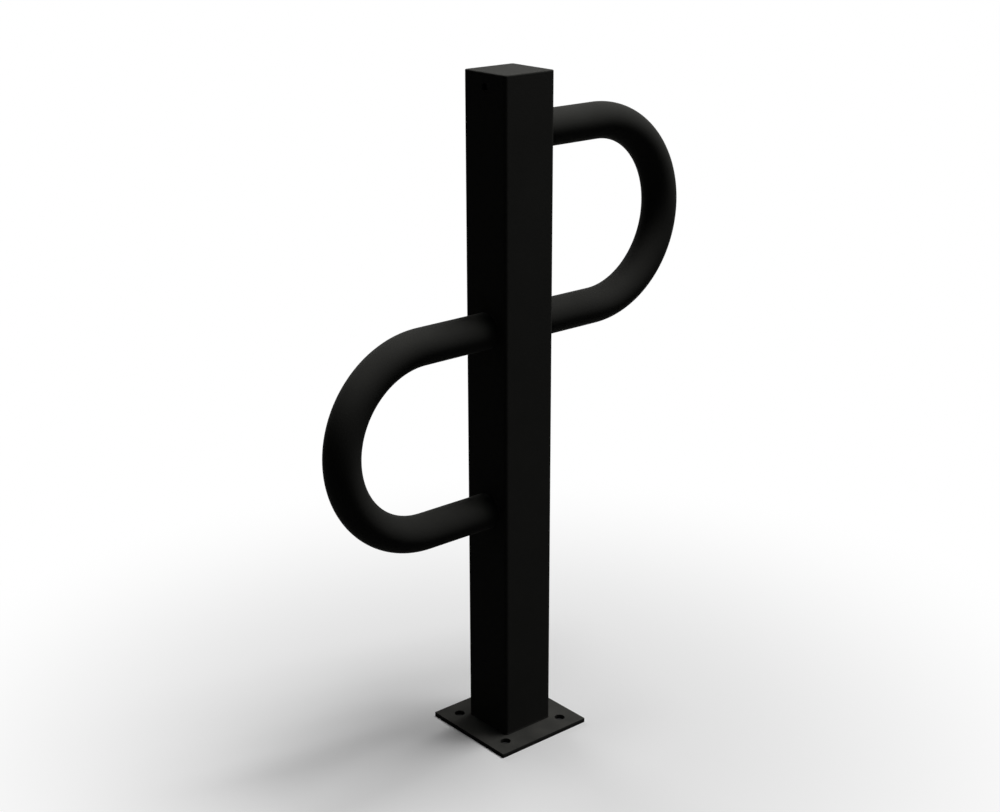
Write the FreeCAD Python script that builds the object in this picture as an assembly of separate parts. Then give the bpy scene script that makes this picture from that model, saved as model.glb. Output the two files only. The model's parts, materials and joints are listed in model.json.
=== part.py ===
import FreeCAD, Part
import os

# A bike bollard: a square steel post on a bolt-down plate, with a bent-tube hoop on each side to lock to.
# Millimetres, +Z up. The origin is on the ground under the post's axis, and both hoops lie in the XZ plane.

# Post, a square hollow section
post_side = 80.0
post_wall = 3.0
post_inner_radius = 1.0

# Hoops, round tube bent to a half circle between two straight legs
tube_diameter = 48.3
tube_wall = 3.2
bend_radius = 125.0
leg_length = 105.0
lowest_leg_height = 330.0

# Post above the axis of the top leg, up to the cap
post_head = 76.0

# Cap plate
cap_thickness = 3.0
cap_edge_radius = 1.5

# Largest edge rounding, as a share of the plate that carries it
edge_radius_limit = 0.8

# Base plate, and where its anchor holes stand between the post's faces and the plate's edges
plate_thickness = 6.0
plate_corner_radius = 0.8
plate_edge_radius = 0.4
anchor_hole_diameter = 14.0
anchor_to_post = 10.0
anchor_to_edge = 25.0

# Holes that let air and liquid zinc through the hollow sections when the bollard is galvanised
drain_hole_diameter = 40.0
leg_vent_diameter = 16.0
top_vent_diameter = 10.0
top_vent_drop = 18.0

# Welds: each fills a bevel cut round a section's end, and this much of the wall inside it stays square
cap_weld_land = 1.0
foot_weld_land = 1.0
leg_weld_land = 1.0

# Sizes that follow
post_half = post_side / 2
post_outer_radius = post_inner_radius + post_wall
leg_pitch = 2 * bend_radius
middle_leg_height = lowest_leg_height + leg_pitch
top_leg_height = middle_leg_height + leg_pitch
post_end_height = top_leg_height + post_head
top_height = post_end_height + cap_thickness
anchor_spacing = post_side + 2 * anchor_to_post
plate_side = anchor_spacing + 2 * anchor_to_edge
tube_radius = tube_diameter / 2

ORIGIN = FreeCAD.Vector(0, 0, 0)
ALONG_X = FreeCAD.Vector(1, 0, 0)
UP = FreeCAD.Vector(0, 0, 1)


def square_prism(side, corner_radius, bottom, top):
    """An upright square prism about the post's axis, with its four upright edges rounded."""
    corner = FreeCAD.Vector(-side / 2, -side / 2, bottom)
    prism = Part.makeBox(side, side, top - bottom, corner)
    upright = [edge for edge in prism.Edges if abs(edge.tangentAt(edge.FirstParameter).z) > 0.5]
    return prism.makeFillet(corner_radius, upright)


def round_top_edges(plate, radius, thickness):
    """Round the outer edges of a plate's flat top, by no more than its thickness allows."""
    top = plate.BoundBox.ZMax
    edges = [edge for edge in plate.Edges if abs(edge.BoundBox.ZMin - top) < 1e-6]
    return plate.makeFillet(min(radius, edge_radius_limit * thickness), edges)


def upright_hole(diameter, x, y, bottom, top):
    """A drill along Z."""
    return Part.makeCylinder(diameter / 2, top - bottom, FreeCAD.Vector(x, y, bottom), UP)


def wall_hole(diameter, side, height):
    """A drill along X through one post wall: side is 1 for the +X face and -1 for the -X face."""
    direction = ALONG_X * side
    start = FreeCAD.Vector(side * (post_half - 2 * post_wall), 0, height)
    return Part.makeCylinder(diameter / 2, 3 * post_wall, start, direction)


def section_face(points, y=0.0):
    """A flat face in a plane of constant y, from (x, z) corners."""
    corners = [FreeCAD.Vector(x, y, z) for x, z in points]
    return Part.Face(Part.makePolygon(corners + corners[:1]))


def ring_round_post(section):
    """Carry a section of (distance out from the post's face, height) points round the post's outline."""
    straight_half = post_half - post_outer_radius
    points = [(post_half + out, height) for out, height in section]
    corner_axis = FreeCAD.Vector(straight_half, straight_half, 0)
    side = section_face(points, -straight_half).extrude(FreeCAD.Vector(0, 2 * straight_half, 0))
    corner = section_face(points, straight_half).revolve(corner_axis, UP, 90)
    quarters = []
    for quarter in range(4):
        for piece in (side, corner):
            turned = piece.copy()
            turned.rotate(ORIGIN, UP, 90 * quarter)
            quarters.append(turned)
    return quarters[0].multiFuse(quarters[1:]).removeSplitter()


def make_base_plate():
    """The foot plate with its anchor holes and the drain hole inside the post."""
    blank = square_prism(plate_side, plate_corner_radius, 0, plate_thickness)
    plate = round_top_edges(blank, plate_edge_radius, plate_thickness)
    drills = [upright_hole(drain_hole_diameter, 0, 0, -plate_thickness, 2 * plate_thickness)]
    for x_side in (-1, 1):
        for y_side in (-1, 1):
            x = x_side * anchor_spacing / 2
            y = y_side * anchor_spacing / 2
            drills.append(upright_hole(anchor_hole_diameter, x, y, -plate_thickness, 2 * plate_thickness))
    return plate.cut(drills)


def make_cap_weld():
    """The weld in the bevel at the post's top end, flush with the post's faces."""
    depth = post_wall - cap_weld_land
    section = [(0, post_end_height), (-depth, post_end_height), (0, post_end_height - depth)]
    return ring_round_post(section)


def make_foot_weld():
    """The weld in the bevel at the post's bottom end, flush with the post's faces."""
    depth = post_wall - foot_weld_land
    section = [(0, plate_thickness), (-depth, plate_thickness), (0, plate_thickness + depth)]
    return ring_round_post(section)


def make_post():
    """The hollow section, bevelled at both ends for their welds and drilled for its vents."""
    outside = square_prism(post_side, post_outer_radius, plate_thickness, post_end_height)
    inside = square_prism(post_side - 2 * post_wall, post_inner_radius, plate_thickness, post_end_height)
    drills = [wall_hole(top_vent_diameter, -1, top_height - top_vent_drop)]
    for height in (middle_leg_height, top_leg_height):
        drills.append(wall_hole(leg_vent_diameter, 1, height))
    for height in (lowest_leg_height, middle_leg_height):
        drills.append(wall_hole(leg_vent_diameter, -1, height))
    return outside.cut([inside, make_cap_weld(), make_foot_weld()] + drills)


def make_post_cap():
    """The plate on the post's end, with its top edges rounded."""
    blank = square_prism(post_side, post_outer_radius, post_end_height, top_height)
    return round_top_edges(blank, cap_edge_radius, cap_thickness)


def hoop_path(low_leg_height):
    """A hoop's centre line on the +X face: out along the low leg, round the bend, back on the high leg."""
    bend_start = post_half + leg_length
    high_leg_height = low_leg_height + leg_pitch
    low_end = FreeCAD.Vector(post_half, 0, low_leg_height)
    low_bend = FreeCAD.Vector(bend_start, 0, low_leg_height)
    bend_middle = FreeCAD.Vector(bend_start + bend_radius, 0, low_leg_height + bend_radius)
    high_bend = FreeCAD.Vector(bend_start, 0, high_leg_height)
    high_end = FreeCAD.Vector(post_half, 0, high_leg_height)
    low_leg = Part.LineSegment(low_end, low_bend).toShape()
    bend = Part.Arc(low_bend, bend_middle, high_bend).toShape()
    high_leg = Part.LineSegment(high_bend, high_end).toShape()
    return Part.Wire([low_leg, bend, high_leg])


def swept_disc(path, radius):
    """A round bar along a path that starts along +X."""
    start = path.OrderedVertexes[0].Point
    disc = Part.Face(Part.Wire(Part.makeCircle(radius, start, ALONG_X)))
    return path.makePipe(disc)


def make_leg_weld(leg_height):
    """The weld in the bevel at a leg's end on the post's +X face, flush with the tube."""
    depth = tube_wall - leg_weld_land
    tube_top = leg_height + tube_radius
    section = [(post_half, tube_top), (post_half, tube_top - depth), (post_half + depth, tube_top)]
    return section_face(section).revolve(FreeCAD.Vector(0, 0, leg_height), ALONG_X, 360)


def make_hoop(low_leg_height):
    """A hoop on the post's +X face: a hollow bent tube, bevelled at both ends for their welds."""
    path = hoop_path(low_leg_height)
    bore = swept_disc(path, tube_radius - tube_wall)
    bevels = [make_leg_weld(low_leg_height), make_leg_weld(low_leg_height + leg_pitch)]
    return swept_disc(path, tube_radius).cut([bore] + bevels)


def on_other_side(shape):
    """The same piece turned half round the post's axis, onto the -X face."""
    turned = shape.copy()
    turned.rotate(ORIGIN, UP, 180)
    return turned


nodes = {
    "base_plate": make_base_plate(),
    "post": make_post(),
    "post_cap": make_post_cap(),
    "cap_weld": make_cap_weld(),
    "foot_weld": make_foot_weld(),
    "upper_hoop": make_hoop(middle_leg_height),
    "upper_hoop_top_weld": make_leg_weld(top_leg_height),
    "upper_hoop_bottom_weld": make_leg_weld(middle_leg_height),
    "lower_hoop": on_other_side(make_hoop(lowest_leg_height)),
    "lower_hoop_top_weld": on_other_side(make_leg_weld(middle_leg_height)),
    "lower_hoop_bottom_weld": on_other_side(make_leg_weld(lowest_leg_height)),
}

os.makedirs("parts", exist_ok=True)
for name, shape in nodes.items():
    piece = shape.Solids[0]
    piece.exportStep(os.path.join("parts", name + ".step"))
    print(f"{name}: {len(shape.Solids)} solid, valid {piece.isValid()}, {piece.Volume / 1000:.2f} cm3")
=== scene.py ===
"""Looks of a bike bollard: a square post on a bolt-down plate, with a bent-tube hoop on each side.

Every piece is a closed surface worked out with numpy, in metres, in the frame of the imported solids, and
stands for the solid that the log names beside it. The finish is a matte black powder coat on steel.
"""

import json
import logging
import math
from collections.abc import Sequence
from dataclasses import dataclass, field
from enum import Enum

import bmesh
import bpy
import numpy as np
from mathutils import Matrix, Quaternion, Vector


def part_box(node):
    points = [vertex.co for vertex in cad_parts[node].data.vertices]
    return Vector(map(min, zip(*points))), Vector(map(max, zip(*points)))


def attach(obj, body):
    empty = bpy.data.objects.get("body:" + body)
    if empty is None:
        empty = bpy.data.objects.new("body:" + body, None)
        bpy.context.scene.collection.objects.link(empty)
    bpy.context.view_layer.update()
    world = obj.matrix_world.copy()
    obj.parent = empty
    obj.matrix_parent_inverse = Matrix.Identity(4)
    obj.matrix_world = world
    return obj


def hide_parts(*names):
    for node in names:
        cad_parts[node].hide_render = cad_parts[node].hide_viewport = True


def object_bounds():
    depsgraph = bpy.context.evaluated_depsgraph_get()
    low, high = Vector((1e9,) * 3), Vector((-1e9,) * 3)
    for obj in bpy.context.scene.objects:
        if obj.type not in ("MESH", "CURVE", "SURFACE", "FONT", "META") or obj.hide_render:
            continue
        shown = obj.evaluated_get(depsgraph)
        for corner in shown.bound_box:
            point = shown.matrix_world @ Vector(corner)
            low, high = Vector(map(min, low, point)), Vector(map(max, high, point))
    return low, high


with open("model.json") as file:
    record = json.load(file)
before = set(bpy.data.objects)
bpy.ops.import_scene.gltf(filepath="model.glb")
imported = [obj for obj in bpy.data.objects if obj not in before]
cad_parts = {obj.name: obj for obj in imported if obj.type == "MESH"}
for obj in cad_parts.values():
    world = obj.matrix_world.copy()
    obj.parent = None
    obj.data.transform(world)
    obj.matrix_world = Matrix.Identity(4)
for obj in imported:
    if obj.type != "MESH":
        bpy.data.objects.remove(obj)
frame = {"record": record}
cad_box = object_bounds()

log = logging.getLogger("bollard")

MM = 0.001
BODY = "root"
QUARTER_TURN = math.pi / 2
FULL_TURN = 2 * math.pi
SQUARE_SIDES = 4

# Points closer than this are joined, and grid lines that agree to these decimals of a metre are one line
JOIN_DISTANCE = 0.001 * MM
LINE_DECIMALS = 7

# Faces that meet at more than this angle keep their edge
SHARP_ANGLE = math.radians(40.0)

# Steps round the coat's rounding at a hole's edge
RIM_STEPS = 5

# The mesh attribute that says how much of an edge a point is
RUB_ATTRIBUTE = "rub"

# Places of a colour mix's mask, two colours and result among its sockets
COLOUR_MIX_INPUTS = (0, 6, 7)
COLOUR_MIX_RESULT = 2

Array = np.ndarray
Place = tuple[float, float, float]
Colour = tuple[float, float, float, float]
Tree = bpy.types.NodeTree
Socket = bpy.types.NodeSocket
Feed = Socket | Colour | float
Feeds = dict[str | int, Feed]

WHITE: Colour = (1.0, 1.0, 1.0, 1.0)

# What the effects on a coat take and pass on, and the kinds of their sockets that aren't plain numbers
LOOK = ("Color", "Roughness")
SOCKET_KINDS = {"Vector": "NodeSocketVector", "Color": "NodeSocketColor"}


class Slot(Enum):
    """The record's material slots."""

    POST = "post_coat"
    HOOP = "hoop_coat"
    PLATE = "plate_coat"
    WELD = "weld_coat"


class Side(Enum):
    """The post's face that a hoop stands on, as the sign of its X direction."""

    PLUS_X = 1.0
    MINUS_X = -1.0


class PostEnd(Enum):
    """An end of the post, as the sign of the way up or down into the post."""

    FOOT = 1.0
    HEAD = -1.0


class Leg(Enum):
    """A hoop's legs, as the names of their welds call them."""

    TOP = "top"
    BOTTOM = "bottom"


HOOPS = {"upper_hoop": Side.PLUS_X, "lower_hoop": Side.MINUS_X}


def weld_node(hoop: str, leg: Leg) -> str:
    """Name of the solid of the weld round a hoop's leg."""
    return f"{hoop}_{leg.value}_weld"


def leg_height(hoop: str, leg: Leg) -> float:
    """Height of a leg's axis, from the weld round it."""
    low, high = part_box(weld_node(hoop, leg))
    return ((low + high) / 2).z


def linked(name: str, data: bpy.types.ID) -> bpy.types.Object:
    """Make an object and link it to the scene.

    Args:
        name: The object's name.
        data: Its mesh, light or camera.

    Returns:
        The object, at the origin.
    """
    made = bpy.data.objects.new(name, data)
    bpy.context.scene.collection.objects.link(made)
    return made


def mirrored(values: Array) -> Array:
    """Sorted places on both sides of zero, from the places on its positive side."""
    return np.unique(np.concatenate([-values, values]))


def span(middle: float, half: float, steps: int) -> Array:
    """Evenly spaced places from half below a middle to half above it."""
    return np.linspace(middle - half, middle + half, steps + 1)


def line_range(lines: Array, middle: float, half: float) -> Array:
    """Indices of the grid lines from half below a middle to half above it."""
    first, last = (int(np.argmin(np.abs(lines - middle - offset))) for offset in (-half, half))
    return np.arange(first, last + 1)


@dataclass
class Skin:
    """Gathers the grids that make up one piece, as points, quads and rub, and closes them into one mesh."""

    name: str
    points: list[Array] = field(default_factory=list)
    quads: list[Array] = field(default_factory=list)
    rub: list[Array] = field(default_factory=list)

    def add(
        self,
        points: Array,
        closed_rows: bool = False,
        closed_columns: bool = True,
        windows: Sequence[tuple[slice, slice]] = (),
        rub: Array | float = 0.0,
    ) -> "Skin":
        """Add a grid whose quad (r, c) joins rows r and r + 1 and columns c and c + 1.

        Args:
            points: Grid of places, rows by columns by three.
            closed_rows: Whether the last row joins the first.
            closed_columns: Whether the last column joins the first.
            windows: Rows and columns of quads that are left out for a hole.
            rub: How much of an edge each point is, from 0 to 1, in a shape that fits the grid.

        Returns:
            The skin itself.
        """
        shape = points.shape[:2]
        first = sum(map(len, self.points))
        index = np.arange(shape[0] * shape[1]).reshape(shape) + first
        if closed_rows:
            index = np.vstack([index, index[:1]])
        if closed_columns:
            index = np.hstack([index, index[:, :1]])
        quads = np.stack([index[:-1, :-1], index[:-1, 1:], index[1:, 1:], index[1:, :-1]], axis=-1)
        kept = np.ones(quads.shape[:2], dtype=bool)
        for rows, columns in windows:
            kept[rows, columns] = False
        self.points.append(points.reshape(-1, 3))
        self.quads.append(quads[kept])
        self.rub.append(np.broadcast_to(rub, shape).reshape(-1))
        return self

    def build(self) -> bpy.types.Object:
        """Make the object: points that no quad uses go, seams are joined and faces turned outwards.

        Returns:
            The finished object, linked to the scene, at the origin.
        """
        used, corners = np.unique(np.concatenate(self.quads), return_inverse=True)
        mesh = bpy.data.meshes.new(self.name)
        mesh.from_pydata(np.concatenate(self.points)[used], [], corners.reshape(-1, 4))
        rub = mesh.attributes.new(RUB_ATTRIBUTE, "FLOAT", "POINT")
        rub.data.foreach_set("value", np.concatenate(self.rub)[used].astype(np.float32))
        joined = bmesh.new()
        joined.from_mesh(mesh)
        bmesh.ops.remove_doubles(joined, verts=joined.verts, dist=JOIN_DISTANCE)
        bmesh.ops.recalc_face_normals(joined, faces=joined.faces)
        joined.to_mesh(mesh)
        joined.free()
        mesh.shade_smooth()
        mesh.set_sharp_from_angle(angle=SHARP_ANGLE)
        return linked(self.name, mesh)


def window_loop(grid: Array, rows: Array, columns: Array) -> Array:
    """Points once round a window of a grid: along its first row, its last column, and back."""
    window = grid[np.ix_(rows, columns)]
    return np.concatenate([window[0, :-1], window[:-1, -1], window[-1, :0:-1], window[:0:-1, 0]])


def hole_sleeve(near: Array, far: Array, radius: float, rim: float) -> tuple[Array, Array]:
    """Lining of a round hole between the square windows left for it in two parallel sheets.

    Each loop point gives a direction from the hole's axis. Along it the rings shrink from the window to a
    circle, turn over a quarter-round rim, run down the bore and open out again on the far sheet.

    Args:
        near: Loop round the window in the near sheet.
        far: Loop round the window in the far sheet, in step with the near one.
        radius: Radius of the bore.
        rim: Radius of the coat's rounding at the bore's edges.

    Returns:
        The rings, one row each, and how much of an edge each row is.
    """
    near_middle, far_middle = ((loop.min(axis=0) + loop.max(axis=0)) / 2 for loop in (near, far))
    depth = np.linalg.norm(far_middle - near_middle)
    inward = (far_middle - near_middle) / depth
    spokes = (near - near_middle) / np.linalg.norm(near - near_middle, axis=1, keepdims=True)
    turn = np.linspace(0.0, QUARTER_TURN, RIM_STEPS + 1)
    shoulder = radius + rim
    reach = np.concatenate([[shoulder + rim], shoulder - rim * np.sin(turn)])
    drop = np.concatenate([[0.0], rim * (1 - np.cos(turn))])
    reach = np.concatenate([reach, reach[::-1]])
    drop = np.concatenate([drop, depth - drop[::-1]])
    circles = near_middle + reach[:, None, None] * spokes + drop[:, None, None] * inward
    rub = np.clip((shoulder - reach) / rim, 0.0, 1.0)
    rings = np.concatenate([near[None], circles, far[None]])
    return rings, np.concatenate([[0.0], rub, [0.0]])[:, None]


@dataclass(frozen=True)
class PostOutline:
    """The post's rounded square in plan, as foot points and outward normals in order round it.

    Along a side the foot point runs from one corner's axis to the next and the normal stands still. Round a
    corner the foot point stays on the axis and the normal turns by a quarter.

    Attributes:
        straight: Half of the flat between two rounded corners.
        lines: Places of the points along a flat, from -straight to straight.
        corner_steps: Steps round a corner.
    """

    straight: float
    lines: Array
    corner_steps: int

    def feet_and_normals(self) -> tuple[Array, Array]:
        """Turn the points of one side and one corner by a quarter at a time.

        Returns:
            Foot points and outward normals, each two by the number of points round the outline.
        """
        turns = np.linspace(0.0, QUARTER_TURN, self.corner_steps + 1)[1:-1]
        angles = np.concatenate([np.zeros(len(self.lines)), turns])
        feet = np.stack([
            np.full(angles.shape, self.straight),
            np.concatenate([self.lines, np.full(turns.shape, self.straight)]),
        ])
        normals = np.stack([np.cos(angles), np.sin(angles)])
        quarters = np.arange(SQUARE_SIDES) * QUARTER_TURN
        spin = np.array([[np.cos(quarters), -np.sin(quarters)], [np.sin(quarters), np.cos(quarters)]])
        return tuple(np.einsum("ijq,jn->iqn", spin, part).reshape(2, -1) for part in (feet, normals))

    def carry(self, reach: Array, height: Array) -> Array:
        """Carry a section round the outline: foot point plus reach times normal, at the section's height."""
        x, y = (foot + reach * normal for foot, normal in zip(*self.feet_and_normals()))
        return np.stack(np.broadcast_arrays(x, y, height), axis=-1)

    def travel(self, reach: float) -> Array:
        """Distance run round the outline up to each of its points.

        Args:
            reach: Distance out from the corner axes.

        Returns:
            The distances, as shares of the whole.
        """
        feet, normals = self.feet_and_normals()
        places = feet + reach * normals
        steps = np.linalg.norm(np.roll(places, -1, axis=1) - places, axis=0)
        return np.concatenate([[0.0], np.cumsum(steps)[:-1]]) / steps.sum()

    def length(self, reach: float) -> float:
        """Length of the outline at a reach: the flats and one full turn."""
        return SQUARE_SIDES * 2 * self.straight + FULL_TURN * reach

    def corner_share(self, fade: float) -> Array:
        """How much of a corner each outline point is: 1 round the corners, fading to 0 along the flats."""
        flat = np.clip((np.abs(self.lines) - self.straight + fade) / fade, 0.0, 1.0)
        return np.tile(np.concatenate([flat, np.ones(self.corner_steps - 1)]), SQUARE_SIDES)


@dataclass(frozen=True)
class BeadShape:
    """The section of a weld bead that fills the bevel of a wall's end, and the ripples along it.

    Attributes:
        wall: Thickness of the wall.
        land: Width of its end left flat inside the bevel.
        crown: How far the bead's middle stands proud of the face.
        ripple: Height of the ripples, or below zero the depth of hollows.
        pitch: Distance from one ripple to the next.
        lag: How far a ripple's ends trail its middle, in pitches.
        steps: Steps across the bead.
        steps_per_ripple: Steps along each ripple.
    """

    wall: float
    land: float = 1.0 * MM
    crown: float = 0.22 * MM
    ripple: float = 0.10 * MM
    pitch: float = 2.6 * MM
    lag: float = 0.45
    steps: int = 10
    steps_per_ripple: int = 8

    def depth(self) -> float:
        """Depth of the bevel, and how far it runs along the face from the joint."""
        return self.wall - self.land

    def ripples(self, length: float) -> int:
        """Whole number of ripples along a closed seam of that length."""
        return round(length / self.pitch)

    def section(self, share: Array, length: float) -> tuple[Array, Array]:
        """Places of the bead's surface against the face that the bevel is cut in.

        The surface runs along the face from the joint to the bevel's end, raised by the crown and the
        ripples, both times the sine of half a turn across. A ripple is the sine of half a turn along, whose
        phase is the ripples passed so far less the lag at the bead's sides.

        Args:
            share: Share of the seam's length at each step along it.
            length: Length of the seam.

        Returns:
            Distances out from the face and along it from the joint, across by along, closed by the root.
        """
        across = np.linspace(0.0, 1.0, self.steps + 1)[:, None]
        phase = share[None, :] * self.ripples(length) - self.lag * (2 * across - 1) ** 2
        scallop = np.abs(np.sin(math.pi * phase))
        proud = (self.crown + self.ripple * scallop) * np.sin(math.pi * across)
        along = np.broadcast_to(self.depth() * across, proud.shape)
        root = np.zeros((1, share.size))
        return np.vstack([proud, root - self.depth()]), np.vstack([along, root])


@dataclass(frozen=True)
class RoundHole:
    """A round hole through a plate.

    Attributes:
        x, y: Place of its axis.
        radius: Its radius.
        window: Half of the square of the plate's grid in which it lies.
        rim: Radius of the coat's rounding at its edges.
    """

    x: float
    y: float
    radius: float
    window: float
    rim: float


@dataclass(frozen=True)
class SquarePlate:
    """A square plate with rounded corners, rounded top edges and round holes.

    Attributes:
        half: Half of the plate's side.
        low: Height of its underside.
        high: Height of its top.
        corner: Radius of its upright corners.
        edge: Radius of its top edges.
        border: Width of the strip along the edges outside the flat grid.
        inner_lines: Places of grid lines on the positive side, apart from those at the corners.
        corner_steps: Steps round half a corner, and round an edge.
        holes: The plate's holes, whose windows lie on grid lines.
    """

    half: float
    low: float
    high: float
    corner: float
    edge: float
    border: float
    inner_lines: Array
    corner_steps: int = 5
    holes: tuple[RoundHole, ...] = ()

    def lines(self) -> Array:
        """Grid lines on both axes, set at the ends so that the border's points are even round the corners.

        Returns:
            Their places, in order.
        """
        slope = np.tan(np.linspace(0.0, QUARTER_TURN / 2, self.corner_steps + 1))
        at_corner = (self.half - self.corner + self.corner * slope) * (1 - self.border / self.half)
        return mirrored(np.concatenate([self.inner_lines, at_corner]))

    def sheet(self, height: float) -> Array:
        """The flat grid at a height."""
        x, y = np.meshgrid(self.lines(), self.lines(), indexing="ij")
        return np.stack([x, y, np.full(x.shape, height)], axis=-1)

    def rim(self, top_loop: Array, low_loop: Array) -> Array:
        """Rings from the top grid over the rounded edge and down the side to the bottom grid.

        A loop point, grown to the plate's full square, is drawn back to the square of the corners' axes to
        give its foot point. Each ring stands off the foot point by the corner radius less the ring's inset,
        which is the edge radius times one less the sine of the turn over the edge.

        Args:
            top_loop: Loop round the top grid.
            low_loop: Loop round the bottom grid.

        Returns:
            The rings, one row each.
        """
        full = top_loop[:, :2] / (1 - self.border / self.half)
        axes = self.half - self.corner
        feet = np.clip(full, -axes, axes)
        normals = (full - feet) / np.linalg.norm(full - feet, axis=1, keepdims=True)
        turn = np.linspace(0.0, QUARTER_TURN, self.corner_steps + 1)
        inset = np.concatenate([self.edge * (1 - np.sin(turn)), [0.0]])
        height = np.concatenate([self.high - self.edge * (1 - np.cos(turn)), [self.low]])
        plan = feet + (self.corner - inset)[:, None, None] * normals
        rings = np.concatenate([plan, np.broadcast_to(height[:, None, None], (*plan.shape[:2], 1))], axis=-1)
        return np.concatenate([top_loop[None], rings, low_loop[None]])

    def skin(self, name: str) -> Skin:
        """Close the plate's surface: top and bottom grids, the rim between them and the holes' sleeves.

        Only the rounded top edge and the holes' edges are rubbed.

        Args:
            name: The piece's name.

        Returns:
            The surface.
        """
        lines = self.lines()
        sheets = [self.sheet(self.high), self.sheet(self.low)]
        whole = np.arange(len(lines))
        ranges = [(line_range(lines, h.x, h.window), line_range(lines, h.y, h.window)) for h in self.holes]
        windows = [(slice(r[0], r[-1]), slice(c[0], c[-1])) for r, c in ranges]
        skin = Skin(name)
        for sheet in sheets:
            skin.add(sheet, closed_columns=False, windows=windows)
        rings = self.rim(*(window_loop(sheet, whole, whole) for sheet in sheets))
        rub = np.ones((len(rings), 1))
        rub[[0, -2, -1]] = 0.0
        skin.add(rings, rub=rub)
        for hole, (rows, columns) in zip(self.holes, ranges):
            loops = [window_loop(sheet, rows, columns) for sheet in sheets]
            sleeve, sleeve_rub = hole_sleeve(*loops, hole.radius, hole.rim)
            skin.add(sleeve, rub=sleeve_rub)
        return skin


@dataclass(frozen=True)
class Bench:
    """A node tree, with short calls that add nodes and join sockets."""

    tree: Tree

    @classmethod
    def of(cls, owner: bpy.types.Material | bpy.types.World) -> "Bench":
        """Start afresh on the tree of a material or world.

        Args:
            owner: The material or world.

        Returns:
            A bench on its emptied tree.
        """
        owner.use_nodes = True
        owner.node_tree.nodes.clear()
        return cls(owner.node_tree)

    def feed(self, target: Socket, source: Feed) -> None:
        """Lead an output into an input, or give the input a plain value.

        Args:
            target: The input.
            source: The output or the value.
        """
        if isinstance(source, Socket):
            self.tree.links.new(source, target)
        else:
            target.default_value = source

    def add(self, kind: str, feeds: Feeds | None = None, **settings: object) -> bpy.types.Node:
        """Add a node.

        Args:
            kind: Blender's name for the node's type.
            feeds: Outputs or plain values for its inputs, by the inputs' names or places.
            settings: The node's own settings.

        Returns:
            The new node.
        """
        node = self.tree.nodes.new(kind)
        for key, value in settings.items():
            setattr(node, key, value)
        for key, source in (feeds or {}).items():
            self.feed(node.inputs[key], source)
        return node

    def group(self, tree: Tree, feeds: Feeds) -> dict[str, Socket]:
        """Place a node group, and give its outputs by name."""
        node = self.add("ShaderNodeGroup", feeds, node_tree=tree)
        return {socket.name: socket for socket in node.outputs}

    def math(self, operation: str, *terms: Socket | float) -> Socket:
        """Work out one sum, by Blender's name for it, of outputs and numbers."""
        return self.add("ShaderNodeMath", dict(enumerate(terms)), operation=operation).outputs[0]

    def noise(self, place: Socket, cells: Socket | float, detail: float) -> Socket:
        """Noise from 0 to 1 on a place in metres, with that many cells to the metre."""
        feeds = {"Vector": place, "Scale": cells, "Detail": detail}
        return self.add("ShaderNodeTexNoise", feeds).outputs[0]

    def ramp(self, value: Socket, low: float, high: float) -> Socket:
        """A smooth step from 0 at the low value to 1 at the high one."""
        feeds = {"Value": value, "From Min": low, "From Max": high}
        return self.add("ShaderNodeMapRange", feeds, interpolation_type="SMOOTHSTEP").outputs["Result"]

    def tint(self, mask: Socket, colour: Feed, towards: Feed) -> Socket:
        """Blend a colour, where a mask is 0, towards another, where it is 1."""
        feeds = dict(zip(COLOUR_MIX_INPUTS, (mask, colour, towards)))
        return self.add("ShaderNodeMix", feeds, data_type="RGBA").outputs[COLOUR_MIX_RESULT]

    def mix(self, mask: Socket, off: bpy.types.Node, on: bpy.types.Node) -> Socket:
        """One shader where a mask is 0, and another where it is 1."""
        return self.add("ShaderNodeMixShader", {0: mask, 1: off.outputs[0], 2: on.outputs[0]}).outputs[0]


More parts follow.
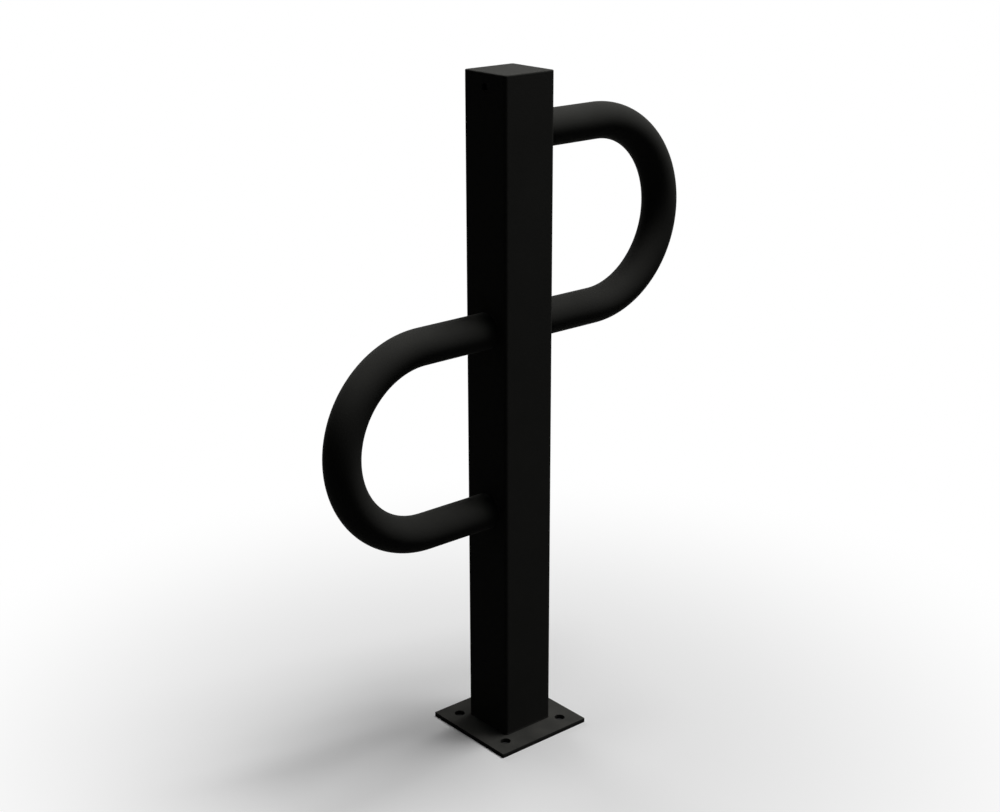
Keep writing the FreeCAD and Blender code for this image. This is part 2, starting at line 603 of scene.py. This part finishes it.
class CoatEffects:
    """Node groups that the powder coats share: orange peel, mottling, rubbed edges, and settled dust with
    painted light on what faces up.
    """

    def __init__(self) -> None:
        """Build each group once."""
        self.peel = self._peel()
        self.mottle = self._mottle()
        self.edge_rub = self._edge_rub()
        self.dust_and_top_light = self._dust_and_top_light()

    @staticmethod
    def _group(
        name: str, inputs: Sequence[str], outputs: Sequence[str]
    ) -> tuple[Bench, bpy.types.NodeOutputs, bpy.types.NodeInputs]:
        """Start a group that takes a place in metres and what else is named.

        Args:
            name: The group's name.
            inputs: Names of its other inputs.
            outputs: Names of its outputs.

        Returns:
            A bench on the group, and the inner ends of its inputs and outputs.
        """
        tree = bpy.data.node_groups.new(name, "ShaderNodeTree")
        for in_out, sockets in (("INPUT", ("Vector", *inputs)), ("OUTPUT", outputs)):
            for socket in sockets:
                kind = SOCKET_KINDS.get(socket, "NodeSocketFloat")
                tree.interface.new_socket(socket, in_out=in_out, socket_type=kind)
        bench = Bench(tree)
        return bench, bench.add("NodeGroupInput").outputs, bench.add("NodeGroupOutput").inputs

    def _peel(self) -> Tree:
        """Height of the orange peel: noise at the cell size plus a share of noise three times finer.

        Returns:
            The group.
        """
        finer, share = 3.1, 0.35
        coarse_detail, fine_detail = 0.0, 1.0
        bench, given, result = self._group("coat_orange_peel", ["Cells"], ["Height"])
        coarse = bench.noise(given["Vector"], given["Cells"], coarse_detail)
        fine_cells = bench.math("MULTIPLY", given["Cells"], finer)
        fine = bench.noise(given["Vector"], fine_cells, fine_detail)
        bench.feed(result["Height"], bench.math("MULTIPLY_ADD", fine, share, coarse))
        return bench.tree

    def _mottle(self) -> Tree:
        """Colour and roughness times one plus a slow noise about zero, each with its own spread.

        Returns:
            The group.
        """
        patches, detail, middle = 16.0, 4.0, 0.5
        bench, given, result = self._group("coat_mottle", [*LOOK, "Shade Spread", "Gloss Spread"], LOOK)
        wander = bench.math("SUBTRACT", bench.noise(given["Vector"], patches, detail), middle)
        shade = bench.math("MULTIPLY_ADD", wander, given["Shade Spread"], 1.0)
        gloss = bench.math("MULTIPLY_ADD", wander, given["Gloss Spread"], 1.0)
        feeds = {"Vector": given["Color"], "Scale": shade}
        scaled = bench.add("ShaderNodeVectorMath", feeds, operation="SCALE")
        bench.feed(result["Color"], scaled.outputs["Vector"])
        bench.feed(result["Roughness"], bench.math("MULTIPLY", given["Roughness"], gloss))
        return bench.tree

    def _edge_rub(self) -> Tree:
        """Edges, broken up by noise, blend towards a paler and smoother coat.

        Returns:
            The group.
        """
        patches, detail = 90.0, 3.0
        low, high = 0.42, 0.68
        worn: Colour = (0.080, 0.080, 0.076, 1.0)
        smoother = -0.14
        bench, given, result = self._group("coat_edge_rub", [*LOOK, "Edge", "Amount"], LOOK)
        broken = bench.ramp(bench.noise(given["Vector"], patches, detail), low, high)
        mask = bench.math("MULTIPLY", bench.math("MULTIPLY", given["Edge"], given["Amount"]), broken)
        bench.feed(result["Color"], bench.tint(mask, given["Color"], worn))
        bench.feed(result["Roughness"], bench.math("MULTIPLY_ADD", mask, smoother, given["Roughness"]))
        return bench.tree

    def _dust_and_top_light(self) -> Tree:
        """What faces up blends towards a pale colour and gets rougher, more in some patches than others:
        settled dust, and painted light that makes the tops lighter.

        Returns:
            The group.
        """
        patches, detail = 30.0, 5.0
        low, high = 0.25, 0.8
        lying_and_top_lit_from, lying_and_top_lit_full = 0.35, 1.0
        # Pale colour of the settled dust, which also paints light on what faces up
        powder: Colour = (0.21, 0.20, 0.18, 1.0)
        rougher = 0.5
        bench, given, result = self._group("coat_dust_and_top_light", [*LOOK, "Facing Up", "Amount"], LOOK)
        patchy = bench.ramp(bench.noise(given["Vector"], patches, detail), low, high)
        # The more a face points up, the more dust and painted light it gets
        lying_and_top_lit = bench.ramp(given["Facing Up"], lying_and_top_lit_from, lying_and_top_lit_full)
        mask = bench.math("MULTIPLY", bench.math("MULTIPLY", lying_and_top_lit, patchy), given["Amount"])
        bench.feed(result["Color"], bench.tint(mask, given["Color"], powder))
        bench.feed(result["Roughness"], bench.math("MULTIPLY_ADD", mask, rougher, given["Roughness"]))
        return bench.tree


@dataclass(frozen=True)
class PowderCoat:
    """A matte black powder coat on one of the record's material slots.

    Attributes:
        slot: The slot that the coat finishes.
        colour: Its colour.
        roughness: Its roughness.
        specular: Its specular level, low because the coat is matte to the eye.
        cells: Cells of its orange peel to the metre.
        peel: Depth of its orange peel.
        shade_spread: How far its shade wanders, as a share.
        gloss_spread: How far its roughness wanders, as a share.
        rub: How much its edges are rubbed.
        dust_and_top_light: How much dust lies on it, which also paints light on what faces up.
    """

    slot: Slot
    colour: Colour = (0.045, 0.045, 0.042, 1.0)
    roughness: float = 0.6
    specular: float = 0.004
    cells: float = 520.0
    peel: float = 0.09 * MM
    shade_spread: float = 0.35
    gloss_spread: float = 0.25
    rub: float = 0.12
    dust_and_top_light: float = 0.03

    def material(self, effects: CoatEffects) -> bpy.types.Material:
        """Build the coat's material on Object coordinates.

        Args:
            effects: The node groups that the coats share.

        Returns:
            The material.
        """
        material = bpy.data.materials.new(self.slot.value)
        bench = Bench.of(material)
        place = {"Vector": bench.add("ShaderNodeTexCoord").outputs["Object"]}
        edge = bench.add("ShaderNodeAttribute", attribute_name=RUB_ATTRIBUTE).outputs["Fac"]
        normal = bench.add("ShaderNodeNewGeometry").outputs["Normal"]
        facing_up = bench.add("ShaderNodeSeparateXYZ", {0: normal}).outputs["Z"]
        bare = {"Color": self.colour, "Roughness": self.roughness}
        spreads = {"Shade Spread": self.shade_spread, "Gloss Spread": self.gloss_spread}
        mottled = bench.group(effects.mottle, {**place, **bare, **spreads})
        rubbed = bench.group(effects.edge_rub, {**place, **mottled, "Edge": edge, "Amount": self.rub})
        # Dust and painted light on what faces up
        dusted_and_top_lit = bench.group(effects.dust_and_top_light, {**place, **rubbed, "Facing Up": facing_up, "Amount": self.dust_and_top_light})
        peel = bench.group(effects.peel, {**place, "Cells": self.cells})
        bump = bench.add("ShaderNodeBump", {"Strength": 1.0, "Distance": self.peel, **peel})
        shader = bench.add("ShaderNodeBsdfPrincipled", {
            "Base Color": dusted_and_top_lit["Color"],
            "Roughness": dusted_and_top_lit["Roughness"],
            "Specular IOR Level": self.specular,
            "Normal": bump.outputs["Normal"],
        })
        bench.add("ShaderNodeOutputMaterial", {"Surface": shader.outputs["BSDF"]})
        return material


COATS = (
    PowderCoat(Slot.POST),
    PowderCoat(Slot.HOOP),
    # The plate gets more, which paints its top lighter as well as dustier
    PowderCoat(Slot.PLATE, dust_and_top_light=0.11),
    PowderCoat(Slot.WELD, peel=0.05 * MM),
)


class Paintwork:
    """The coats' materials, and the one way in which a piece joins the bollard."""

    def __init__(self) -> None:
        """Build the shared effects and a material for each coat."""
        effects = CoatEffects()
        self.materials = {coat.slot: coat.material(effects) for coat in COATS}

    def dress(self, skin: Skin, node: str, slot: Slot) -> None:
        """Build a piece, paint it, fix it to the bollard's body and let it stand for its solid.

        Args:
            skin: The piece's surface.
            node: The solid that it stands for.
            slot: The material slot of its finish.
        """
        piece = skin.build()
        piece.data.materials.append(self.materials[slot])
        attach(piece, BODY)
        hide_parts(node)
        log.info("%s stands for %s: %d faces", piece.name, node, len(piece.data.polygons))


@dataclass(frozen=True)
class Upright:
    """The post, the cap on its end and the welds at both its ends.

    Attributes:
        wall: Thickness of the post's walls.
        corner: Outer radius of the post's corners.
        cap_edge: Radius of the cap's top edges.
        cap_border: Width of the strip along the cap's edges outside its flat grid.
        cap_steps: Steps of the cap's grid from its middle to its corners.
        vent_radius: Radius of the vent near the top of the -X face.
        vent_drop: Depth of that vent's middle below the bollard's top.
        leg_vent_radius: Radius of the vents behind the hoops' legs.
        hole_rim: Radius of the coat's rounding at the holes' edges.
        window: Half of the square of the wall's grid in which a hole lies.
        window_steps: Steps along such a square's side.
        edge_support: Distance of a supporting grid line from a rounded corner.
        corner_steps: Steps round a corner.
        dressing: Depth of the hollows left where the cap weld was ground flush.
        dressing_pitch: Distance from one of those hollows to the next.
    """

    wall: float = 3.0 * MM
    corner: float = 4.0 * MM
    cap_edge: float = 1.5 * MM
    cap_border: float = 3.0 * MM
    cap_steps: int = 5
    vent_radius: float = 5.0 * MM
    vent_drop: float = 18.0 * MM
    leg_vent_radius: float = 8.0 * MM
    hole_rim: float = 0.3 * MM
    window: float = 11.0 * MM
    window_steps: int = 12
    edge_support: float = 3.0 * MM
    corner_steps: int = 10
    dressing: float = 0.06 * MM
    dressing_pitch: float = 13.5 * MM

    def outline(self, steps_between: int = 0) -> PostOutline:
        """The post's outline.

        Args:
            steps_between: Even steps along a flat, or 0 for the lines that the holes' windows need.

        Returns:
            The outline of the post's corner axes.
        """
        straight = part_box("post")[1].x - self.corner
        if steps_between:
            return PostOutline(straight, span(0.0, straight, steps_between), self.corner_steps)
        flat = np.array([straight - self.edge_support, straight])
        lines = np.concatenate([mirrored(flat), span(0.0, self.window, self.window_steps)])
        return PostOutline(straight, np.sort(lines), self.corner_steps)

    def vents(self) -> list[tuple[Side, float, float]]:
        """The holes in the post's walls: one near the top, and one behind each leg of the hoops.

        Returns:
            Face, height and radius of each hole.
        """
        vents = [(Side.MINUS_X, cad_box[1][2] - self.vent_drop, self.vent_radius)]
        for hoop, side in HOOPS.items():
            vents += [(side, leg_height(hoop, leg), self.leg_vent_radius) for leg in Leg]
        return vents

    def post_skin(self) -> Skin:
        """The hollow post as one closed section carried round its outline, with a sleeve in each hole.

        The section goes up the outer face between its two bevels, over the post's end, down the inner face
        and back under it.

        Returns:
            The post's surface.
        """
        outline = self.outline()
        foot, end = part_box("post")[0].z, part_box("post")[1].z
        bevel = BeadShape(self.wall).depth()
        vents = self.vents()
        windows = [span(height, self.window, self.window_steps) for _, height, _ in vents]
        lines = np.concatenate([[foot, foot + bevel, end - bevel], *windows])
        lines = np.unique(lines.round(LINE_DECIMALS))
        outer = np.where(lines < foot + bevel / 2, self.corner - bevel, self.corner)
        inner = np.full(lines.shape, self.corner - self.wall)
        reach = np.concatenate([outer, [self.corner - bevel, self.corner - self.wall], inner])
        height = np.concatenate([lines, [end, end], lines[::-1]])
        grid = outline.carry(reach[:, None], height[:, None])
        left_out, sleeves = [], []
        for side, middle, radius in vents:
            rows = line_range(lines, middle, self.window)
            inner_rows = len(height) - 1 - rows
            columns = line_range(outline.lines, 0.0, self.window)
            if side is Side.MINUS_X:
                columns = columns + grid.shape[1] // 2
            across = slice(columns[0], columns[-1])
            left_out += [(slice(rows[0], rows[-1]), across), (slice(inner_rows[-1], inner_rows[0]), across)]
            near, far = window_loop(grid, rows, columns), window_loop(grid, inner_rows, columns)
            sleeves.append(hole_sleeve(near, far, radius, self.hole_rim))
        corner_share = outline.corner_share(self.edge_support)
        skin = Skin("coated_post").add(grid, closed_rows=True, windows=left_out, rub=corner_share)
        for rings, rub in sleeves:
            skin.add(rings, rub=rub)
        return skin

    def cap_skin(self) -> Skin:
        """The cap, a plate with rounded top edges.

        Returns:
            The cap's surface.
        """
        low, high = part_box("post_cap")
        inner_lines = np.linspace(0.0, high.x - 2 * self.corner, self.cap_steps + 1)
        plate = SquarePlate(high.x, low.z, high.z, self.corner, self.cap_edge, self.cap_border, inner_lines)
        return plate.skin("coated_cap")

    def weld_skin(self, node: str, bead: BeadShape, end: PostEnd) -> Skin:
        """The weld in the bevel at one of the post's ends: its section carried round the post's outline.

        Args:
            node: The weld's solid.
            bead: Its section.
            end: The post's end, which lies at the bottom or the top of that solid.

        Returns:
            The bead's surface.
        """
        low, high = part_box(node)
        joint = low.z if end is PostEnd.FOOT else high.z
        length = self.outline().length(self.corner)
        outline = self.outline(bead.ripples(length) * bead.steps_per_ripple // SQUARE_SIDES)
        proud, along = bead.section(outline.travel(self.corner), length)
        points = outline.carry(self.corner + proud, joint + end.value * along)
        return Skin(f"{node}_bead").add(points, closed_rows=True)

    def cap_weld_skin(self) -> Skin:
        """The weld under the cap, ground flush but for shallow hollows."""
        bead = BeadShape(self.wall, crown=0.0, ripple=-self.dressing, pitch=self.dressing_pitch, lag=0.0)
        return self.weld_skin("cap_weld", bead, PostEnd.HEAD)

    def foot_weld_skin(self) -> Skin:
        """The weld on the foot plate, as it was laid."""
        return self.weld_skin("foot_weld", BeadShape(self.wall), PostEnd.FOOT)

    def build(self, paintwork: Paintwork) -> None:
        """Build and dress the post, its cap and the weld between them.

        Args:
            paintwork: The paint shop.
        """
        paintwork.dress(self.post_skin(), "post", Slot.POST)
        paintwork.dress(self.cap_skin(), "post_cap", Slot.POST)
        paintwork.dress(self.cap_weld_skin(), "cap_weld", Slot.POST)


@dataclass(frozen=True)
class Foot:
    """The bolt-down plate and the weld round the post on it.

    Attributes:
        corner: Radius of the plate's upright corners.
        edge: Radius of its top edges.
        border: Width of the strip along its edges outside the flat grid.
        drain_radius: Radius of the drain hole under the post.
        hole_rim: Radius of the coat's rounding at the holes' edges.
        anchor_window: Half of the square of the grid in which an anchor hole lies.
        drain_window: Half of the square in which the drain hole lies.
        line_pitch: Distance between grid lines across those squares.
    """

    corner: float = 0.8 * MM
    edge: float = 0.4 * MM
    border: float = 1.5 * MM
    drain_radius: float = 20.0 * MM
    hole_rim: float = 0.5 * MM
    anchor_window: float = 12.0 * MM
    drain_window: float = 24.0 * MM
    line_pitch: float = 2.0 * MM

    def plate_skin(self) -> Skin:
        """The plate, with the anchor holes that the record's bolt pattern gives and the drain hole.

        Returns:
            The plate's surface.
        """
        low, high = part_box("base_plate")
        mounts = frame["record"]["mounts"]
        pattern = next(mount["dims"] for mount in mounts if mount["name"] == "anchor_holes")
        reach = pattern["spacing_x_mm"] * MM / 2
        radius = pattern["hole_r_mm"] * MM
        holes = [
            RoundHole(x * reach, y * reach, radius, self.anchor_window, self.hole_rim)
            for x in (-1, 1)
            for y in (-1, 1)
        ]
        holes.append(RoundHole(0.0, 0.0, self.drain_radius, self.drain_window, self.hole_rim))
        inner_lines = np.concatenate([
            np.linspace(0.0, self.drain_window, round(self.drain_window / self.line_pitch) + 1),
            span(reach, self.anchor_window, round(2 * self.anchor_window / self.line_pitch)),
        ])
        plate = SquarePlate(
            high.x, low.z, high.z, self.corner, self.edge, self.border, inner_lines, holes=tuple(holes)
        )
        return plate.skin("coated_foot_plate")

    def build(self, paintwork: Paintwork, upright: Upright) -> None:
        """Build and dress the plate and the weld on it."""
        paintwork.dress(self.plate_skin(), "base_plate", Slot.PLATE)
        paintwork.dress(upright.foot_weld_skin(), "foot_weld", Slot.WELD)


@dataclass(frozen=True)
class LeaningHoop:
    """A bent tube on one face of the post, with a weld round each leg.

    Attributes:
        name: Name of the hoop's solid.
        side: The post's face that it stands on.
        wall: Thickness of the tube's wall.
        leg_steps: Steps along a leg.
        bend_steps: Steps round the bend.
        ring_steps: Steps round the tube.
    """

    name: str
    side: Side
    wall: float = 3.2 * MM
    leg_steps: int = 12
    bend_steps: int = 72
    ring_steps: int = 72

    def tube_radius(self) -> float:
        """Outer radius of the tube, half of the hoop's thickness."""
        low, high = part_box(self.name)
        return max(-low.y, high.y)

    def centre_line(self) -> tuple[Array, Array]:
        """The tube's centre line on the +X face, and the normals to it that point out of the hoop.

        It runs out along the low leg, with its second place where the bevel ends, round a half circle whose
        radius is half of the legs' distance, and back along the high leg.

        Returns:
            Places and normals in the XZ plane, each with a row for a place.
        """
        low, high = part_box(self.name)
        face, tip = min(abs(low.x), abs(high.x)), max(abs(low.x), abs(high.x))
        low_leg, high_leg = (leg_height(self.name, leg) for leg in (Leg.BOTTOM, Leg.TOP))
        radius = (high_leg - low_leg) / 2
        bend = tip - self.tube_radius() - radius
        bevel_end = face + BeadShape(self.wall).depth()
        leg = np.concatenate([[face], np.linspace(bevel_end, bend, self.leg_steps + 1)])
        out, back = leg[:-1], leg[-2::-1]
        turn = np.linspace(-QUARTER_TURN, QUARTER_TURN, self.bend_steps + 1)
        angle = np.pad(turn, len(out), mode="edge")
        x = np.concatenate([out, bend + radius * np.cos(turn), back])
        z = (low_leg + high_leg) / 2 + radius * np.sin(angle)
        return np.stack([x, z], axis=-1), np.stack([np.cos(angle), np.sin(angle)], axis=-1)

    def tube_skin(self) -> Skin:
        """The tube: circles square to its line, out along the bevelled outer wall and back along the bore.

        A point stands off the line by the wall's radius times the cosine of its angle along the line's
        normal and times its sine along Y.

        Returns:
            The tube's surface.
        """
        line, normals = self.centre_line()
        outer = np.full(len(line), self.tube_radius())
        outer[[0, -1]] -= BeadShape(self.wall).depth()
        inner = np.full(len(line), self.tube_radius() - self.wall)
        radius = np.concatenate([outer, inner])[:, None]
        line = np.concatenate([line, line[::-1]])
        normals = np.concatenate([normals, normals[::-1]])
        angle = np.linspace(0.0, FULL_TURN, self.ring_steps, endpoint=False)[None, :]
        off = radius * np.cos(angle)
        x = line[:, :1] + off * normals[:, :1]
        z = line[:, 1:] + off * normals[:, 1:]
        y = radius * np.sin(angle)
        points = np.stack([self.side.value * x, y, z], axis=-1)
        return Skin(f"{self.name}_tube").add(points, closed_rows=True)

    def weld_skin(self, leg: Leg) -> Skin:
        """The weld in the bevel at a leg's end: its section carried round the tube, on the post's face.

        Args:
            leg: The leg.

        Returns:
            The bead's surface.
        """
        node = weld_node(self.name, leg)
        low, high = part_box(node)
        bead = BeadShape(self.wall)
        tube = self.tube_radius()
        length = FULL_TURN * tube
        steps = bead.ripples(length) * bead.steps_per_ripple
        share = np.arange(steps) / steps
        proud, along = bead.section(share, length)
        face = min(abs(low.x), abs(high.x))
        angle = FULL_TURN * share
        x = self.side.value * (face + along)
        y = (tube + proud) * np.cos(angle)
        z = leg_height(self.name, leg) + (tube + proud) * np.sin(angle)
        return Skin(f"{node}_bead").add(np.stack([x, y, z], axis=-1), closed_rows=True)

    def build(self, paintwork: Paintwork) -> None:
        """Build and dress the tube and the welds round its legs.

        Args:
            paintwork: The paint shop.
        """
        paintwork.dress(self.tube_skin(), self.name, Slot.HOOP)
        for leg in Leg:
            paintwork.dress(self.weld_skin(leg), weld_node(self.name, leg), Slot.WELD)


@dataclass(frozen=True)
class SoftLamp:
    """A square soft lamp that points at the bollard, with its width in metres and its power in watts."""

    name: str
    place: Place
    width: float
    power: float

    def build(self, aim: Vector) -> None:
        """Hang the lamp.

        Args:
            aim: The point that it is turned to.
        """
        light = bpy.data.lights.new(self.name, "AREA")
        light.size = self.width
        light.energy = self.power
        lamp = linked(self.name, light)
        lamp.location = self.place
        lamp.rotation_euler = (aim - lamp.location).to_track_quat("-Z", "Y").to_euler()


@dataclass(frozen=True)
class Studio:
    """A pale floor, soft lamps, a white surround and the camera.

    Attributes:
        floor_half: Half of the floor's side.
        floor_colour: Colour of the floor round the bollard, as it shows.
        hidden_colour: Colour of the floor for the light that it throws back on the bollard.
        painted_hole_shadow_half: Half of the side of the dark sheet under the plate, which paints the shadow
            in its holes.
        painted_hole_shadow_height: Height of that sheet above the floor.
        painted_hole_shadow_colour: Colour of that sheet, a painted shadow.
        fade: Distances from the bollard at which the floor starts to turn white and is white.
        ambient: Light of the surround on the bollard.
        lamps: The lamps.
        camera_place: Where the camera stands.
        camera_aim: The point that it looks at.
        camera_roll: How far it leans, in degrees.
        lens: Its focal length in millimetres.
        sensor: Its sensor's width in millimetres.
    """

    floor_half: float = 60.0
    floor_colour: Colour = (0.9, 0.9, 0.9, 1.0)
    hidden_colour: Colour = (0.04, 0.04, 0.04, 1.0)
    painted_hole_shadow_half: float = 73.0 * MM
    painted_hole_shadow_height: float = 0.2 * MM
    painted_hole_shadow_colour: Colour = (0.04, 0.04, 0.04, 1.0)
    fade: tuple[float, float] = (0.1, 0.95)
    ambient: float = 0.01
    lamps: tuple[SoftLamp, ...] = (
        SoftLamp("key_lamp", (1.53, -0.40, 5.1), 2.4, 225.0),
        SoftLamp("back_lamp", (0.5, 3.4, 1.9), 1.6, 22.0),
    )
    camera_place: Place = (-1.3491, -1.5800, 1.1972)
    camera_aim: Place = (-0.0095, 0.0080, 0.4687)
    camera_roll: float = 0.14
    lens: float = 59.99
    sensor: float = 36.0

    @staticmethod
    def seen(bench: Bench) -> Socket:
        """Mask the rays that show the surround: camera, glossy and transmission rays.

        Args:
            bench: The tree that needs the mask.

        Returns:
            The mask, 1 for those rays.
        """
        path = bench.add("ShaderNodeLightPath").outputs
        shown = bench.math("MAXIMUM", path["Is Camera Ray"], path["Is Glossy Ray"])
        return bench.math("MAXIMUM", shown, path["Is Transmission Ray"])

    @staticmethod
    def lay(name: str, half: float, height: float, material: bpy.types.Material) -> None:
        """Lay a level square about the post's axis.

        Args:
            name: Its name.
            half: Half of its side.
            height: Its height.
            material: Its material.
        """
        corners = [(x * half, y * half, height) for x, y in ((-1, -1), (1, -1), (1, 1), (-1, 1))]
        mesh = bpy.data.meshes.new(name)
        mesh.from_pydata(corners, [], [range(len(corners))])
        mesh.materials.append(material)
        square = linked(name, mesh)

    def painted_hole_shadow(self) -> None:
        """Lay a dark sheet under the plate: painted shadow that shows in its holes."""
        material = bpy.data.materials.new("painted_hole_shadow")
        bench = Bench.of(material)
        # Flat dark colour that paints the shadow seen through the plate's holes
        matte = bench.add("ShaderNodeBsdfDiffuse", {"Color": self.painted_hole_shadow_colour})
        bench.add("ShaderNodeOutputMaterial", {"Surface": matte.outputs[0]})
        self.lay("painted_hole_shadow", self.painted_hole_shadow_half, self.painted_hole_shadow_height, material)

    def floor(self) -> None:
        """Lay the floor: matte round the bollard, so that it keeps the shadow, and white further off."""
        material = bpy.data.materials.new("pale_floor")
        bench = Bench.of(material)
        seen = self.seen(bench)
        colour = bench.tint(seen, self.hidden_colour, self.floor_colour)
        matte = bench.add("ShaderNodeBsdfDiffuse", {"Color": colour})
        white = bench.add("ShaderNodeEmission", {"Color": WHITE, "Strength": 1.0})
        place = bench.add("ShaderNodeTexCoord").outputs["Object"]
        away = bench.add("ShaderNodeVectorMath", {0: place}, operation="LENGTH").outputs["Value"]
        far = bench.math("MULTIPLY", bench.ramp(away, *self.fade), seen)
        bench.add("ShaderNodeOutputMaterial", {"Surface": bench.mix(far, matte, white)})
        self.lay("floor", self.floor_half, 0.0, material)

    def surround(self) -> None:
        """Light the bollard evenly from the surround, which itself shows as white."""
        world = bpy.data.worlds.new("surround")
        bench = Bench.of(world)
        lighting = bench.add("ShaderNodeBackground", {"Color": WHITE, "Strength": self.ambient})
        shown = bench.add("ShaderNodeBackground", {"Color": WHITE, "Strength": 1.0})
        bench.add("ShaderNodeOutputWorld", {"Surface": bench.mix(self.seen(bench), lighting, shown)})
        bpy.context.scene.world = world

    def camera(self) -> None:
        """Set the camera up at the photograph's angle."""
        lens = bpy.data.cameras.new("camera")
        lens.lens = self.lens
        lens.sensor_width = self.sensor
        lens.sensor_fit = "HORIZONTAL"
        camera = linked("camera", lens)
        camera.location = self.camera_place
        look = (Vector(self.camera_aim) - camera.location).to_track_quat("-Z", "Y")
        lean = Quaternion((0.0, 0.0, 1.0), -math.radians(self.camera_roll))
        camera.rotation_euler = (look @ lean).to_euler()
        bpy.context.scene.camera = camera

    def build(self) -> None:
        """Build the whole studio."""
        self.floor()
        self.painted_hole_shadow()
        self.surround()
        for lamp in self.lamps:
            lamp.build(Vector(self.camera_aim))
        self.camera()
        bpy.context.scene.view_settings.view_transform = "Standard"


def main() -> None:
    """Build the bollard's sub-assemblies and the studio."""
    logging.basicConfig(level=logging.INFO, format="%(name)s: %(message)s")
    paintwork = Paintwork()
    upright = Upright()
    upright.build(paintwork)
    Foot().build(paintwork, upright)
    for name, side in HOOPS.items():
        LeaningHoop(name, side).build(paintwork)
    Studio().build()


if __name__ == "__main__":
    main()
